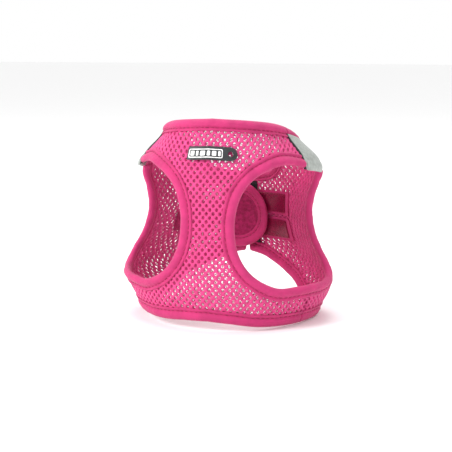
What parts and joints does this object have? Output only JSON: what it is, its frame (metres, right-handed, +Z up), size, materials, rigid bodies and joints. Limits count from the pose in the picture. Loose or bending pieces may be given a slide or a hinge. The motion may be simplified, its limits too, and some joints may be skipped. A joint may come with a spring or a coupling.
{
  "type": "safety harness vest",
  "caption": "Small step-in harness vest of pink spacer mesh with bound leg holes, shoulder straps, inner closure flap, side-release buckle and two leash rings on the back.",
  "frame": {"origin": "middle of the bounding box, on the floor that the girth hem stands on", "axes": "+Z up, towards the neck; the chest faces -Y and the buckle +Y; +X towards the wearer's left"},
  "size_m": [0.1404, 0.127, 0.1305],
  "materials": {
    "air_mesh": "spacer mesh with holes",
    "pink_binding": "rolled knit tape, stitched",
    "velvet": "loop velvet",
    "hook_tape": "hook tape",
    "black_webbing": "woven",
    "reflective_tape": "glass bead",
    "label_rubber": "moulded",
    "label_print": "raised print",
    "black_plastic": "fine grain",
    "steel": "plated"
  },
  "bodies": {
    "chest": {"chest_panel": "air_mesh", "neck_binding_front": "pink_binding", "hem_binding_front": "pink_binding", "right_leg_binding_front": "pink_binding", "left_leg_binding_front": "pink_binding", "label_patch": "label_rubber", "label_print": "label_print"},
    "right_wing": {"right_wing_panel": "air_mesh", "right_leg_binding_rear": "pink_binding", "right_neck_binding": "pink_binding", "right_hem_binding": "pink_binding", "right_shoulder_strap": "reflective_tape", "right_back_edge_tape": "black_webbing", "right_buckle_strap": "black_webbing", "right_ring_keeper": "black_webbing", "upper_hook_pad": "hook_tape", "lower_hook_pad": "hook_tape", "buckle_plug": "black_plastic"},
    "left_wing": {"left_wing_panel": "air_mesh", "left_leg_binding_rear": "pink_binding", "left_neck_binding": "pink_binding", "left_hem_binding": "pink_binding", "left_shoulder_strap": "reflective_tape", "left_back_edge_tape": "black_webbing", "left_buckle_strap": "black_webbing", "left_ring_keeper": "black_webbing", "loop_patch": "velvet", "buckle_socket": "black_plastic"},
    "flap": {"flap_binding": "pink_binding", "closure_flap": "velvet"},
    "right_ring": {"right_d_ring": "steel"},
    "left_ring": {"left_d_ring": "steel"},
    "upper_latch": {"upper_latch_arm": "black_plastic"},
    "lower_latch": {"lower_latch_arm": "black_plastic"}
  },
  "joints": [
    {"name": "right_wing_open", "type": "hinge", "parent": "chest", "child": "right_wing", "pos_m": [0.06237, -0.031, 0.02673], "axis": [0.1159, -0.1399, -0.9834], "range_deg": [0, 40], "deforming": ["upper_latch_arm", "lower_latch_arm"]},
    {"name": "left_wing_open", "type": "hinge", "parent": "chest", "child": "left_wing", "pos_m": [-0.06123, -0.031, 0.02973], "axis": [0.1159, 0.1399, 0.9834], "range_deg": [0, 40]},
    {"name": "flap_peel", "type": "hinge", "parent": "left_wing", "child": "flap", "pos_m": [-0.00843, 0.0432, 0.05703], "axis": [0, 0, -1], "range_deg": [0, 60]},
    {"name": "right_ring_swing", "type": "hinge", "parent": "right_wing", "child": "right_ring", "pos_m": [0.03296, 0.04463, 0.05898], "axis": [-0.0736, -0.1063, 0.9916], "range_deg": [0, 100]},
    {"name": "left_ring_swing", "type": "hinge", "parent": "left_wing", "child": "left_ring", "pos_m": [-0.0319, 0.04476, 0.05898], "axis": [-0.0863, 0.1247, -0.9884], "range_deg": [0, 100]},
    {"name": "latch_press", "type": "hinge", "parent": "right_wing", "child": "upper_latch", "pos_m": [0.00847, 0.06026, 0.06538], "axis": [0, -1, 0], "range_deg": [0, 11], "stiffness_Nm_per_rad": 0.05},
    {"name": "lower_latch_press", "type": "hinge", "parent": "right_wing", "child": "lower_latch", "pos_m": [0.00847, 0.06026, 0.05258], "axis": [0, 1, 0], "range_deg": [0, 11]}
  ],
  "couplings": [
    {"joint": "left_wing_open", "follows": "right_wing_open", "ratio": 1},
    {"joint": "flap_peel", "follows": "right_wing_open", "ratio": 1.5},
    {"joint": "lower_latch_press", "follows": "latch_press", "ratio": 1}
  ]
}
